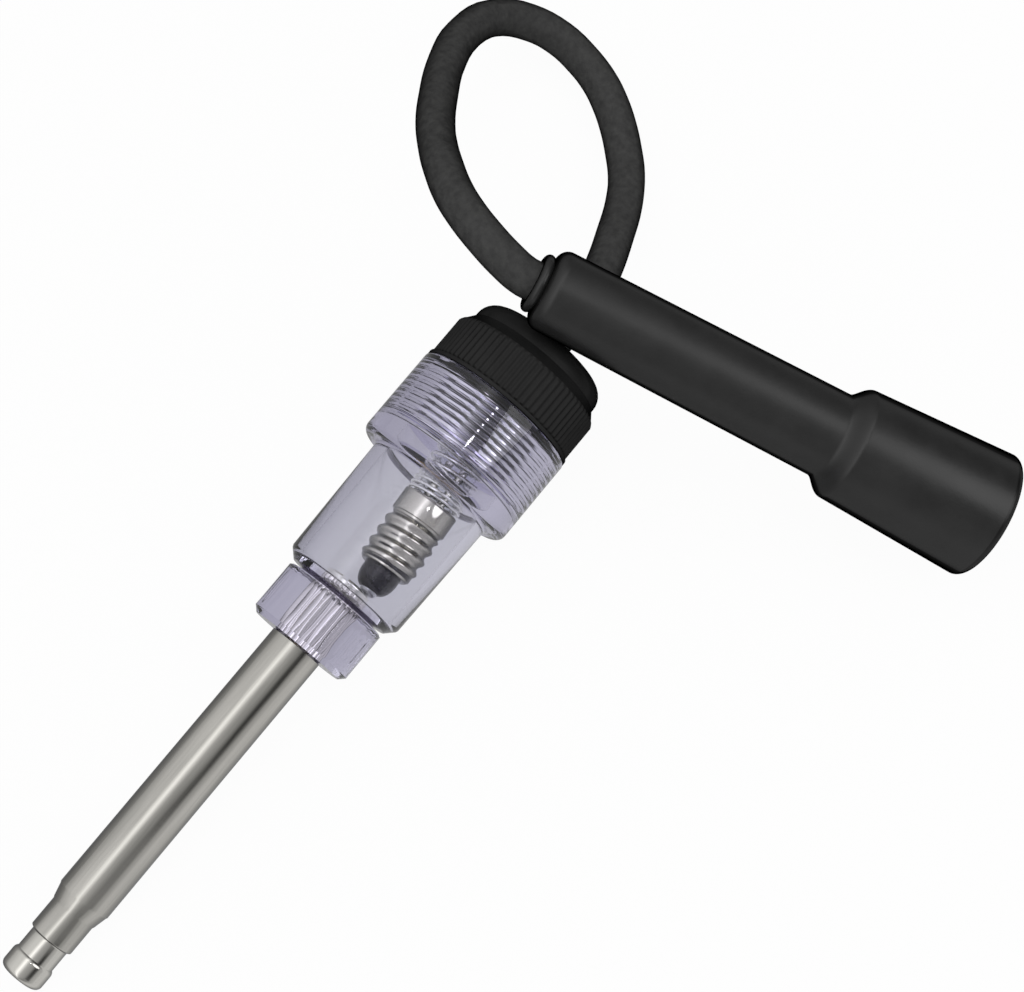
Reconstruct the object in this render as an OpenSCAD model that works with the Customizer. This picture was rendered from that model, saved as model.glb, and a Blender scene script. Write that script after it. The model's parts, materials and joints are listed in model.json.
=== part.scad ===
// In-line ignition spark tester, laid on a table: a plated terminal rod, a clear lamp chamber with a
// sprung glow lamp, a ribbed screw cap, a short high-tension lead and a rubber plug boot.
// Millimetres. Distances along the tester run from the tip of the rod, those along the boot from its tail.

/* [Terminal rod] */
// Diameter of the terminal knob at the tip
knob_d = 6.35; // [6:0.05:6.6]
// Length of the terminal knob
knob_len = 3.5; // [2.8:0.1:5]
// Diameter of the neck behind the knob
neck_d = 5.7; // [4.5:0.1:5.9]
// Length of the neck
neck_len = 2.9; // [2:0.1:5]
// Diameter of the land behind the neck
land_d = 6.6; // [6.1:0.1:7.6]
// Length of the land
land_len = 4.4; // [3:0.1:8]
// Length of the cone from the land to the rod
cone_len = 2.2; // [1:0.1:4]
// Diameter of the plain rod
rod_d = 8; // [7.8:0.1:9.5]
// Length of the plain rod
rod_len = 43.8; // [30:0.5:70]
// Diameter over the knurled shank that is held in the foot
shank_d = 5.4; // [4.6:0.1:6]
// Teeth round the knurled shank
knurl_count = 18; // [12:1:24]

/* [Contact screw] */
// Diameter of the screw that holds the rod to the chamber floor
screw_d = 3; // [2:0.1:3.4]
// Length of the screw in the rod
screw_len = 6; // [3:0.5:12]
// Diameter of the screw's head, on which the lamp stands
screw_head_d = 7.2; // [7:0.1:9]
// Height of the screw's head
screw_head_len = 1.6; // [1:0.1:3]

/* [Clear chamber] */
// Diameter of the fluted foot
foot_d = 16; // [14:0.1:17.5]
// Length of the fluted foot
foot_len = 8.2; // [5:0.1:14]
// Flutes round the foot
flute_count = 32; // [16:1:40]
// Depth of a flute
flute_depth = 0.1; // [0.05:0.05:0.4]
// Chamfer on the foot's lower edge
foot_chamfer = 0.8; // [0.3:0.1:1.2]
// Width of the groove between foot and body
groove_w = 0.6; // [0.4:0.1:1.2]
// Depth of that groove
groove_depth = 1.6; // [0.8:0.1:2.4]
// Thickness of the chamber floor
floor_len = 1.3; // [1:0.1:2.4]
// Outer diameter of the body at its lower end
body_d = 18.7; // [18:0.1:20]
// Length of the body up to the collar
body_len = 19.9; // [19:0.1:30]
// Moulding draft of the body's outer wall, in degrees
draft = 1.1; // [0.5:0.1:1.5]
// Bore round the lamp
lamp_bore_d = 16; // [15.4:0.1:16.4]
// Outer diameter of the collar
collar_d = 24.7; // [24:0.1:28]
// Length of the collar
collar_len = 14; // [13:0.1:20]
// Round on the collar's lower edge
collar_round = 1.2; // [0.6:0.1:1.6]
// Solid length of the collar under its thread
thread_floor = 4; // [3:0.1:4.6]

/* [Screw cap] */
// Plain diameter that stands for the thread of spigot and collar
thread_d = 20.4; // [19.4:0.1:21]
// Length of the threaded spigot
spigot_len = 7.1; // [6:0.1:8.4]
// Bore of the spigot, round the spring
spigot_bore_d = 16; // [15.6:0.1:17]
// Depth of that bore
spigot_bore_len = 5; // [3.5:0.1:6]
// Diameter of the plain rim next to the collar
rim_d = 24.5; // [24.1:0.1:26]
// Length of the plain rim
rim_len = 0.6; // [0.3:0.1:1.5]
// Diameter over the grip ribs
cap_d = 24; // [23:0.1:24.4]
// Length of the ribbed band
rib_len = 6.2; // [4:0.1:9]
// Ribs round the cap
rib_count = 72; // [48:1:80]
// Height of a rib
rib_depth = 0.35; // [0.2:0.05:0.6]
// Diameter of the domed top
dome_d = 21.2; // [19:0.1:22]
// Length of the slope from the ribs to the dome
slope_len = 1.5; // [0.8:0.1:3]
// Length of the domed top
dome_len = 3.2; // [2.8:0.1:6]
// Round on the edge of the domed top
dome_round = 2.5; // [1:0.1:2.7]

/* [Lead] */
// Diameter of the high-tension lead
lead_d = 5.7; // [5:0.1:6.2]
// Diameter of its conductor
core_d = 1.5; // [1:0.1:2]
// Bare length of conductor at each end
strip_len = 2.4; // [1.8:0.1:3]
// Diameter of the ferrule that holds the lead in the cap
ferrule_d = 8.3; // [7.6:0.1:9]
// Length of the ferrule
ferrule_len = 3.6; // [2.5:0.1:5]
// Thickness of the plate that the spring bears on
seat_len = 0.8; // [0.5:0.1:1.2]
// Diameter of the plate's socket for the conductor
seat_boss_d = 3.2; // [2.8:0.1:4.5]

/* [Lamp] */
// Diameter of the lamp's screw shell
shell_d = 8.4; // [8.1:0.1:8.8]
// Length of the screw shell
shell_len = 11; // [9:0.1:11.5]
// Wall of the screw shell
shell_wall = 0.3; // [0.2:0.05:0.4]
// Diameter of the insulator where it leaves the shell
insulator_d = 5.6; // [5:0.1:6]
// Height of the insulator that shows under the shell
insulator_len = 3.6; // [3.2:0.1:4]
// Diameter of the solder contact under the insulator
solder_d = 2.6; // [2:0.1:3]
// Height of the solder contact
solder_len = 0.7; // [0.5:0.1:1]
// Diameter of the glass
glass_d = 6.4; // [5.8:0.1:6.4]
// Length of glass that stands above the shell
glass_len = 11; // [8:0.1:12]
// Wall of the glass
glass_wall = 0.6; // [0.4:0.05:0.7]
// Diameter of an electrode
electrode_d = 1.2; // [0.8:0.1:1.6]
// Length of an electrode above the stem
electrode_len = 7; // [4:0.1:8]
// Diameter of a lead-in wire
wire_in_d = 0.6; // [0.4:0.05:0.7]
// Distance of the lamp's shell from the chamber's axis
lamp_off = 2.5; // [2:0.1:2.8]
// Lean of the lamp in its chamber, in degrees
lamp_lean = 4.5; // [3:0.5:5]

/* [Spring] */
// Wire of the lamp spring
spring_wire = 0.5; // [0.4:0.05:0.55]
// Curls of the lamp spring
spring_curls = 12; // [8:1:12]

/* [Boot] */
// Length of the boot
boot_len = 72; // [70:0.5:85]
// Diameter of the ring at the tail
tail_d = 8.5; // [8:0.1:9.2]
// Round on the barrel's end behind that ring
barrel_round = 1.7; // [1.2:0.1:2.2]
// Diameter of the barrel next to the tail
barrel_d = 11.6; // [11.3:0.1:12.6]
// Diameter of the barrel next to the step
barrel_end_d = 12.5; // [12.2:0.1:14]
// Length from the tail to the step
barrel_len = 46.2; // [42:0.1:47]
// Length of the step
step_len = 3.1; // [2.4:0.1:4]
// Diameter of the socket next to the step
socket_d = 16.6; // [16.2:0.1:18.4]
// Diameter of the socket at the mouth
mouth_d = 18.7; // [18:0.1:21]
// Round on the edge of the mouth
mouth_round = 1; // [0.5:0.1:1.6]
// Bore at the mouth
mouth_bore_d = 14.8; // [12:0.1:15.2]
// Depth of the bore at the mouth
mouth_bore_len = 21; // [16:0.1:24]
// Bore that grips the plug's insulator
grip_bore_d = 10.2; // [9.6:0.1:10.6]
// Length of the gripping bore
grip_bore_len = 20; // [16:0.1:22]
// Length of the chamber that holds the boot's terminal
terminal_bore_len = 19; // [18:0.1:20]

/* [Boot terminal] */
// Inside diameter of the snap terminal
snap_d = 6.7; // [6.4:0.05:6.9]
// Wall of the snap terminal
snap_wall = 0.5; // [0.3:0.05:0.6]
// Length of the snap terminal's fingers
snap_len = 11; // [8:0.1:12]
// Diameter of the terminal's socket for the conductor
crimp_d = 4; // [3:0.1:5]
// Length of that socket
crimp_len = 4.5; // [3:0.1:5]
// Wire of the clip round the fingers
clip_wire = 0.6; // [0.4:0.05:0.7]

/* [Hidden] */
$fn = 96;

// Clearances: a seated face, a snug bore and the thread
face_gap = 0.05;
snug_gap = 0.03;
thread_gap = 0.1;

// Shares of a tooth's pitch at which its crest starts and ends, and then the root next to it
tooth_marks = [0, 0.35, 0.5, 0.85];
knurl_depth = 0.25;

// Stations along the tester
knob_round = 0.9;
land_z = knob_len + neck_len;
cone_z = land_z + land_len;
rod_z = cone_z + cone_len;
foot_z = rod_z + rod_len;
groove_z = foot_z + foot_len;
body_z = groove_z + groove_w;
floor_z = body_z + floor_len;
collar_z = body_z + body_len;
collar_top = collar_z + collar_len;
contact_z = floor_z + screw_head_len;
cap_z = collar_top + face_gap;
rib_z = cap_z + rim_len;
slope_z = rib_z + rib_len;
dome_z = slope_z + slope_len;
cap_top = dome_z + dome_len;
spigot_z = collar_top - spigot_len;
seat_top = spigot_z + spigot_bore_len;
seat_z = seat_top - seat_len;
ferrule_z = seat_top + strip_len - seat_len;
ferrule_top = ferrule_z + ferrule_len;

// Lamp, measured from the foot of its solder contact
solder_r = solder_d / 2;
lamp_z = contact_z + face_gap + solder_r / 2 * sin(lamp_lean);
shell_z = lamp_z + insulator_len + solder_len / 2;
shell_top = shell_z + shell_len;
plug_len = 1.2;
cement_len = 2.4;
cement_drop = 0.4;
stem_len = 2.2;
glass_tail = 1;
glass_z = shell_top - cement_len - glass_tail;
glass_top = shell_top + glass_len;
electrode_z = glass_z + stem_len;
electrode_x = 1.2;
spring_r = (shell_d - spring_wire) / 2;
spring_top = seat_z - face_gap;

// Lie of the tester: the knob's edge and the collar's lower edge both rest on the table
rest_run = collar_z + collar_round - knob_round;
rest_rise = (collar_d - knob_d) / 2 - collar_round + knob_round;
tilt = atan2(rest_rise, rest_run) + asin((collar_round - knob_round) / norm([rest_run, rest_rise]));
tip_h = (knob_d / 2 - knob_round) * cos(tilt) + knob_round - knob_round * sin(tilt);
low_x = knob_round * cos(tilt) - (knob_d / 2 - knob_round) * sin(tilt) - knob_round;
high_x = (cap_top - dome_round) * cos(tilt) + (dome_d / 2 - dome_round) * sin(tilt) + dome_round;
mid_x = (low_x + high_x) / 2;

// Route of the lead from the cap's top to the boot's tail: offsets in x and y from the cap's exit, and the
// height as a share of the exit's height over a lead that lies on the table
lead_r = lead_d / 2;
route = [[0, 0, 1], [2.2, 0, 1.02], [4.7, 0.1, 1.02], [7.2, 0.3, 0.97], [10.2, 0.9, 0.87],
    [13.7, 1.8, 0.74], [17.2, 3, 0.61], [23.2, 5.6, 0.4], [29.2, 8.5, 0.21], [33.7, 11.5, 0.1],
    [37.2, 14.8, 0.03], [40.2, 18.2, 0], [42.5, 21.5, 0], [44.5, 25.3, 0], [45.7, 29.6, 0.03],
    [45.7, 34.1, 0.15], [43.7, 38.5, 0.36], [39.1, 41.8, 0.66], [32.1, 41.9, 0.98], [24.8, 39.1, 1.28],
    [18.6, 35.2, 1.56], [13.6, 31.4, 1.81], [9.8, 27.6, 2.02], [6.8, 23.9, 2.22], [4.3, 20.2, 2.36],
    [2.4, 16.3, 2.47], [1.1, 11.9, 2.49], [0.5, 7.6, 2.43], [0.6, 4.8, 2.35], [1, 3.4, 2.31]];
exit = along(cap_top);
route_points = [for (p = route) [exit[0] + p[0], p[1], lead_r + p[2] * (exit[2] - lead_r)]];

// Lie of the boot: its tail at the end of the route, its mouth on the table
boot_yaw = -72.75;
tail = route_points[len(route_points) - 1];
mouth_rest = mouth_d / 2 - mouth_round;
boot_pitch = asin((tail[2] - mouth_round) / norm([boot_len - mouth_round, mouth_rest]))
    - atan2(mouth_rest, boot_len - mouth_round);
boot_axis = [cos(boot_pitch) * cos(boot_yaw), cos(boot_pitch) * sin(boot_yaw), -sin(boot_pitch)];
tail_bore_len = boot_len - mouth_bore_len - grip_bore_len - terminal_bore_len;
lead_reach = 1;
lead_end = tail_bore_len + lead_reach;
crimp_z = lead_end + face_gap;
snap_z = crimp_z + crimp_len;
snap_base = 1;
snap_r = snap_d / 2 + snap_wall;
clip_groove = 0.2;
clip_share = 0.7;
clip_z = snap_z + clip_share * snap_len;

// Point on the tester's axis, on the table's frame
function along(z) = [z * cos(tilt) - mid_x, 0, tip_h + z * sin(tilt)];

// Arc of a profile from angle a to angle b
function arc(centre, r, a, b, steps = 6) =
    [for (i = [0:steps]) let (t = a + (b - a) * i / steps) centre + r * [cos(t), sin(t)]];

// Smooth step of a profile from one radius and height to another
function ease(r0, z0, r1, z1, steps = 8) =
    [for (i = [0:steps]) let (t = i / steps) [r0 + (r1 - r0) * (1 - cos(180 * t)) / 2, z0 + (z1 - z0) * t]];

// Outline of a ring of straight teeth, each with a flat crest and a flat root
function teeth(count, crest_r, root_r) =
    [for (i = [0:count - 1], k = [0:3]) let (t = 360 * (i + tooth_marks[k]) / count)
        (k < 2 ? crest_r : root_r) * [cos(t), sin(t)]];

// Path with a point added between each two, on a smooth curve through them all
function smooth(path) = let (last = len(path) - 1)
    [for (i = [0:last]) each i == last ? [path[i]] :
        [path[i], (9 * (path[i] + path[i + 1]) - path[max(i - 1, 0)] - path[min(i + 2, last)]) / 16]];

function unit(v) = v / norm(v);

// Direction of a path at each of its points
function headings(path) = let (last = len(path) - 1)
    [for (i = [0:last]) unit(unit(path[min(i + 1, last)] - path[min(i, last - 1)])
        + unit(path[max(i, 1)] - path[max(i, 1) - 1]))];

// Directions square to the path that turn with it and never twist
function sides_of(dirs, first) =
    [for (i = 0, v = first; i < len(dirs); i = i + 1,
        v = i < len(dirs) ? unit(v - dirs[i] * (v * dirs[i])) : v) v];

// One tube along a path, closed at both ends
module tube_along(path, r, count, first) {
    dirs = headings(path);
    side = sides_of(dirs, unit(first - dirs[0] * (first * dirs[0])));
    last = len(path) - 1;
    ring = [for (i = [0:last], k = [0:count - 1]) let (t = 360 * k / count)
        path[i] + r * (cos(t) * side[i] + sin(t) * cross(dirs[i], side[i]))];
    walls = [for (i = [0:last - 1], k = [0:count - 1])
        let (a = i * count + k, b = i * count + (k + 1) % count)
            each [[a, a + count, b], [b, a + count, b + count]]];
    end = last * count;
    ends = [for (k = [1:count - 2]) each [[0, k, k + 1], [end, end + k + 1, end + k]]];
    polyhedron(ring, concat(walls, ends));
}

// Turns a profile of radius and height round the axis
module turned(points) {
    rotate_extrude() polygon(points);
}

// Straight round bar or bore from one height to another
module bar(d, z0, z1) {
    translate([0, 0, z0]) cylinder(d = d, h = z1 - z0);
}

// Lays the tester on the table
module lay() {
    translate([-mid_x, 0, tip_h]) rotate([0, 90 - tilt, 0]) children();
}

// The lamp stands off the chamber's axis and leans back to the middle of the spring's seat
module lay_lamp() {
    lay() translate([0, -lamp_off, shell_z]) rotate([-lamp_lean, 0, 0])
        translate([0, 0, -shell_z]) children();
}

// Lays the boot with its tail on the lead
module lay_boot() {
    translate(tail) rotate([0, 90 + boot_pitch, boot_yaw]) children();
}

module terminal_rod() {
    edge = knob_d / 2 - knob_round;
    color([0.68, 0.67, 0.64]) lay() difference() {
        union() {
            turned(concat([[0, 0]], arc([edge, knob_round], knob_round, -90, 0),
                arc([edge, knob_len - knob_round], knob_round, 0, acos((neck_d / 2 - edge) / knob_round)),
                [[neck_d / 2, land_z], [land_d / 2, land_z], [land_d / 2, cone_z], [rod_d / 2, rod_z],
                    [rod_d / 2, foot_z], [0, foot_z]]));
            translate([0, 0, foot_z]) linear_extrude(body_z - foot_z)
                polygon(teeth(knurl_count, shank_d / 2, shank_d / 2 - knurl_depth));
        }
        bar(screw_d + 2 * snug_gap, body_z - screw_len - face_gap, body_z + 1);
    }
}

module contact_screw() {
    head_r = screw_head_d / 2;
    head_round = 0.5;
    color([0.8, 0.78, 0.72]) lay() {
        bar(screw_d, body_z - screw_len, floor_z);
        turned(concat([[0, floor_z], [head_r, floor_z]],
            arc([head_r - head_round, contact_z - head_round], head_round, 0, 90), [[0, contact_z]]));
    }
}

module chamber() {
    foot_r = foot_d / 2;
    body_r = body_d / 2;
    collar_r = collar_d / 2;
    blend = 0.6;
    body_top = body_r + (body_len - blend) * tan(draft);
    rim = 0.4;
    color([0.75, 0.72, 0.85, 0.4]) lay() difference() {
        union() {
            intersection() {
                translate([0, 0, foot_z]) linear_extrude(foot_len)
                    polygon(teeth(flute_count, foot_r, foot_r - flute_depth));
                turned([[0, foot_z], [foot_r - foot_chamfer, foot_z], [foot_r, foot_z + foot_chamfer],
                    [foot_r, groove_z], [0, groove_z]]);
            }
            turned(concat([[0, groove_z], [foot_r - groove_depth, groove_z], [foot_r - groove_depth, body_z],
                [foot_r, body_z], [body_r, body_z + body_r - foot_r], [body_top, collar_z - blend]],
                arc([body_top + blend, collar_z - blend], blend, 180, 90, 4),
                arc([collar_r - collar_round, collar_z + collar_round], collar_round, -90, 0),
                [[collar_r, collar_top - rim], [collar_r - rim, collar_top], [0, collar_top]]));
        }
        bar(shank_d + 2 * snug_gap, foot_z - 1, body_z);
        bar(screw_d + 2 * snug_gap, foot_z - 1, floor_z + 1);
        bar(lamp_bore_d, floor_z, collar_top + 1);
        bar(thread_d, collar_z + thread_floor, collar_top + 1);
    }
}

module cap() {
    root_r = cap_d / 2 - rib_depth;
    dome_r = dome_d / 2;
    spigot_r = thread_d / 2 - thread_gap;
    color([0.1, 0.1, 0.1]) lay() difference() {
        union() {
            translate([0, 0, rib_z]) linear_extrude(rib_len) polygon(teeth(rib_count, cap_d / 2, root_r));
            turned(concat([[0, spigot_z], [spigot_r, spigot_z], [spigot_r, cap_z], [rim_d / 2, cap_z],
                [rim_d / 2, rib_z], [root_r, rib_z], [root_r, slope_z], [dome_r, dome_z]],
                arc([dome_r - dome_round, cap_top - dome_round], dome_round, 0, 90), [[0, cap_top]]));
        }
        bar(spigot_bore_d, spigot_z - 1, seat_top);
        bar(ferrule_d + 2 * snug_gap, seat_top - 1, ferrule_top + face_gap);
        bar(lead_d + 2 * snug_gap, seat_top, cap_top + 1);
    }
}

module spring_seat() {
    color([0.78, 0.62, 0.3]) lay() difference() {
        union() {
            bar(spigot_bore_d - 2 * snug_gap, seat_z, seat_top);
            bar(seat_boss_d, seat_z, ferrule_z - face_gap);
        }
        bar(core_d + 2 * snug_gap, seat_z - 1, ferrule_z);
    }
}

module lead_ferrule() {
    color([0.78, 0.62, 0.3]) lay() difference() {
        bar(ferrule_d, ferrule_z, ferrule_top);
        bar(lead_d + 2 * snug_gap, ferrule_z - 1, ferrule_top + 1);
    }
}

module lead_core_cap_end() {
    color([0.72, 0.45, 0.3]) lay() bar(core_d, ferrule_z - strip_len, ferrule_z);
}

module lead() {
    path = concat([along(ferrule_z)], smooth(route_points), [tail + lead_end * boot_axis]);
    color([0.11, 0.11, 0.11]) tube_along(path, lead_r, 10, [0, 0, 1]);
}

module lead_core_boot_end() {
    color([0.72, 0.45, 0.3]) lay_boot() bar(core_d, lead_end, lead_end + strip_len);
}

module boot() {
    bead = 0.75;
    mouth_r = mouth_d / 2;
    grip_z = tail_bore_len + terminal_bore_len;
    color([0.12, 0.12, 0.12]) lay_boot() difference() {
        turned(concat([[0, 0]], arc([tail_d / 2 - bead, bead], bead, -90, 60),
            arc([barrel_d / 2 - barrel_round, 2 * bead + barrel_round], barrel_round, -75, 0),
            ease(barrel_end_d / 2, barrel_len, socket_d / 2, barrel_len + step_len),
            arc([mouth_r - mouth_round, boot_len - mouth_round], mouth_round, 0, 90), [[0, boot_len]]));
        bar(lead_d + 2 * snug_gap, -1, tail_bore_len + 1);
        bar(snap_d + 2 * (snap_wall + clip_wire), tail_bore_len, grip_z + 1);
        bar(grip_bore_d, grip_z, grip_z + grip_bore_len + 1);
        bar(mouth_bore_d, boot_len - mouth_bore_len, boot_len + 1);
    }
}

module boot_terminal() {
    slot = 0.8;
    color([0.75, 0.73, 0.68]) lay_boot() difference() {
        union() {
            bar(crimp_d, crimp_z, snap_z);
            bar(2 * snap_r, snap_z, snap_z + snap_base + snap_len);
        }
        bar(core_d + 2 * snug_gap, crimp_z - 1, crimp_z + strip_len);
        bar(snap_d, snap_z + snap_base, snap_z + snap_base + snap_len + 1);
        for (turn = [0, 90])
            rotate([0, 0, turn]) translate([-snap_d, -slot / 2, snap_z + 2 * snap_base])
                cube([2 * snap_d, slot, snap_len]);
        translate([0, 0, clip_z - clip_wire / 2]) difference() {
            cylinder(r = snap_r + 1, h = clip_wire);
            translate([0, 0, -1]) cylinder(r = snap_r - clip_groove, h = clip_wire + 2);
        }
    }
}

module terminal_clip() {
    ring_r = snap_r - clip_groove + clip_wire / 2 + snug_gap;
    color([0.8, 0.8, 0.82]) lay_boot() translate([0, 0, clip_z])
        rotate_extrude(angle = 320)
            translate([ring_r, 0]) circle(d = clip_wire - 2 * snug_gap, $fn = 24);
}

module lamp_contact() {
    top = lamp_z + solder_len;
    color([0.75, 0.76, 0.78]) lay_lamp()
        turned(concat([[0, lamp_z]], ease(solder_r / 2, lamp_z, solder_r, top, 4), [[0, top]]));
}

module lamp_insulator() {
    base = lamp_z + solder_len;
    belly = 2.4;
    neck_r = insulator_d / 2;
    plug_r = shell_d / 2 - shell_wall - snug_gap;
    plug_z = shell_z + shell_wall + face_gap;
    belly_points = [for (t = [0:15:90])
        [solder_r + (neck_r - solder_r) * sin(t), base + belly * (1 - cos(t))]];
    color([0.08, 0.08, 0.1]) lay_lamp()
        turned(concat([[0, base]], belly_points,
            [[neck_r, plug_z], [plug_r, plug_z], [plug_r, shell_z + plug_len], [0, shell_z + plug_len]]));
}

module lamp_shell() {
    color([0.78, 0.77, 0.72]) lay_lamp() difference() {
        bar(shell_d, shell_z, shell_top);
        bar(insulator_d + 2 * snug_gap, shell_z - 1, shell_top);
        bar(shell_d - 2 * shell_wall, shell_z + shell_wall, shell_top + 1);
    }
}

module lamp_cement() {
    color([0.8, 0.79, 0.74]) lay_lamp() difference() {
        bar(shell_d - 2 * (shell_wall + snug_gap), shell_top - cement_len, shell_top - cement_drop);
        bar(glass_d + 2 * snug_gap, shell_top - cement_len - 1, shell_top);
    }
}

module lamp_glass() {
    outer = glass_d / 2;
    inner = outer - glass_wall;
    color([0.85, 0.9, 0.92, 0.35]) lay_lamp()
        turned(concat([[inner, glass_z], [outer, glass_z]], arc([0, glass_top - outer], outer, 0, 90, 10),
            arc([0, glass_top - outer], inner, 90, 0, 10)));
}

module lamp_stem() {
    color([0.8, 0.86, 0.88, 0.6]) lay_lamp() difference() {
        bar(glass_d - 2 * (glass_wall + snug_gap), glass_z, electrode_z);
        for (side = [-1, 1])
            translate([0, side * electrode_x, 0]) bar(wire_in_d + 2 * snug_gap, glass_z - 1, electrode_z + 1);
    }
}

// Electrode with the wire that carries it through the stem
module electrode(side) {
    color([0.6, 0.6, 0.58]) lay_lamp() translate([0, side * electrode_x, 0]) {
        bar(wire_in_d, shell_z + plug_len + face_gap, electrode_z + face_gap);
        bar(electrode_d, electrode_z + face_gap, electrode_z + electrode_len);
    }
}

module electrode_front() {
    electrode(-1);
}

module electrode_back() {
    electrode(1);
}

module lamp_spring() {
    steps = 8 * spring_curls;
    low = shell_top + snug_gap + spring_wire;
    high = spring_top - spring_wire;
    coil = [for (i = [0:steps])
        [spring_r * cos(45 * i), spring_r * sin(45 * i), low + (high - low) * i / steps]];
    path = concat([[spring_r, 0, shell_top + snug_gap]], coil, [[spring_r, 0, spring_top]]);
    gaps = [for (i = [0:steps - 6], k = [i + 6:steps]) norm(coil[i] - coil[k])];
    echo(str("Least gap between the curls of the spring: ", min(gaps) - spring_wire, " mm"));
    color([0.8, 0.8, 0.8]) lay_lamp() tube_along(path, spring_wire / 2, 6, [1, 0, 0]);
}

terminal_rod();
contact_screw();
chamber();
cap();
spring_seat();
lead_ferrule();
lead_core_cap_end();
lead();
lead_core_boot_end();
boot();
boot_terminal();
terminal_clip();
lamp_contact();
lamp_insulator();
lamp_shell();
lamp_cement();
lamp_glass();
lamp_stem();
electrode_front();
electrode_back();
lamp_spring();
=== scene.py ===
"""In-line spark tester on a white table: rod, clear lamp chamber, ribbed cap, looped lead and plug boot."""

from __future__ import annotations

import json
import logging
import math
from dataclasses import dataclass
from enum import Enum
from typing import Callable

import bpy
import numpy as np
from mathutils import Matrix, Vector


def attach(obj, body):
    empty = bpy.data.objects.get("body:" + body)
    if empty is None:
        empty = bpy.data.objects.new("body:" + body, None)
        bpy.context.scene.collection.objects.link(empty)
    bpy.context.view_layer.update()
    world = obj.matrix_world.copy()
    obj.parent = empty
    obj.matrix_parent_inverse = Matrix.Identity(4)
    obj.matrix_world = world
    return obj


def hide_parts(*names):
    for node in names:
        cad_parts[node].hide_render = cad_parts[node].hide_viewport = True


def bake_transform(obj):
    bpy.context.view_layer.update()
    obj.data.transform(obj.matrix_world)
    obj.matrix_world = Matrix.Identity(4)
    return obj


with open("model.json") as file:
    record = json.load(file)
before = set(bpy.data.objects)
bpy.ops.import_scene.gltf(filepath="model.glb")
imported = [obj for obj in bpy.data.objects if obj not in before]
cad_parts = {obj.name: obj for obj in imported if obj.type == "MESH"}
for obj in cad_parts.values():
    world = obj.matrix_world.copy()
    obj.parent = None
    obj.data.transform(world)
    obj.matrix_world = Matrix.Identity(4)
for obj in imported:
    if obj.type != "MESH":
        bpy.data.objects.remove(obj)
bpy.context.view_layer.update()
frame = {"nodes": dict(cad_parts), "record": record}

Profile = list[tuple[float, float]]
Span = tuple[float, float]
Point = tuple[float, float, float]
Colour = tuple[float, float, float, float]
Piece = bpy.types.Object
Socket = bpy.types.NodeSocket
Sockets = bpy.types.bpy_prop_collection
Feed = float | Colour | Socket

MM = 0.001
WELD_GAP = 1e-6
BUMP_HEIGHT = 0.0001
# How far from a wall, in millimetres, a vertex still counts as part of it.
WALL_REACH = 0.02
# A pattern that fades over this length, in millimetres, keeps its full depth to its ends.
ABRUPT = 0.01
SIDES_PER_RIB = 8
# How far, in millimetres, the rows of a ribbed or threaded wall stand from the edge beside them.
ROW_GAP = 0.05
CURVE_STEPS = 4
# A range that Layer Weight doesn't reach, so a fade over it never starts.
NEVER = (2.0, 3.0)
RIM_BLEND = 0.5
EDGE_BLEND = 0.4
BLACK = (0.0, 0.0, 0.0, 1.0)
WHITE = (1.0, 1.0, 1.0, 1.0)

# Heights of the rod's and the grip's middle on their own axes, where the record has its mounts.
ROD_MIDDLE = 34.9
GRIP_MIDDLE = 41.0
# The lamp stands beside the tester's axis and leans, in degrees, about its shell's lower edge.
LAMP_SIDE = -2.5
LAMP_LEAN = 4.5
LAMP_EDGE = 72.551
# Heights, and the thread's pitch, that more than one sub-assembly has, in millimetres.
FOOT_Z = 56.8
FLOOR_Z = 66.9
CAP_TOP = 111.05
PITCH = 1.0

log = logging.getLogger("spark_tester")
logging.basicConfig(level=logging.INFO, format="%(name)s: %(message)s")


class Body(Enum):
    """Rigid bodies of the tester, as the frame names them."""

    CAP = "cap_and_lead"
    LAMP = "lamp"
    CHAMBER = "chamber"


class Slot(Enum):
    """Material slots of the record."""

    STEEL = "plated_steel"
    CLEAR = "clear_plastic"
    CAP = "black_plastic"
    RUBBER = "black_rubber"
    BRASS = "brass"
    COPPER = "copper_core"
    LAMP_METAL = "lamp_metal"
    LAMP_BLACK = "lamp_black_glass"
    LAMP_GLASS = "lamp_clear_glass"
    CEMENT = "lamp_cement"
    SPRING = "spring_steel"


def axis_place(name: str, middle: float, way: int) -> Matrix:
    """Place of a piece that is turned about Z, from a mount on its axis.

    Args:
        name: The mount's name.
        middle: Height of the mount on the piece's own axis, in millimetres.
        way: 1 where the mount's axis runs up the piece, -1 where it runs down.

    Returns:
        The matrix that takes the piece to its place on the table.
    """
    mount = next(m for m in frame["record"]["mounts"] if m["name"] == name)
    axis = way * Vector(mount["axis"]).normalized()
    start = Vector(mount["pos_m"]) - middle * MM * axis
    yaw = Matrix.Rotation(math.atan2(axis.y, axis.x), 4, "Z")
    pitch = Matrix.Rotation(math.acos(axis.z), 4, "Y")
    return Matrix.Translation(start) @ yaw @ pitch


def lamp_place() -> Matrix:
    """Place of the lamp, which leans in its chamber.

    Returns:
        The matrix that takes a piece turned about Z to its place on the table.
    """
    edge = Matrix.Translation((0, 0, LAMP_EDGE * MM))
    lean = Matrix.Rotation(math.radians(-LAMP_LEAN), 4, "X")
    return TESTER @ Matrix.Translation((0, LAMP_SIDE * MM, 0)) @ edge @ lean @ edge.inverted()


# The tester's own Z runs from the rod's tip to the cap, and the boot's from its tail to its mouth.
TESTER = axis_place("rod_shank", ROD_MIDDLE, -1)
LAMP = lamp_place()
BOOT = axis_place("plug_grip", GRIP_MIDDLE, 1)


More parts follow.
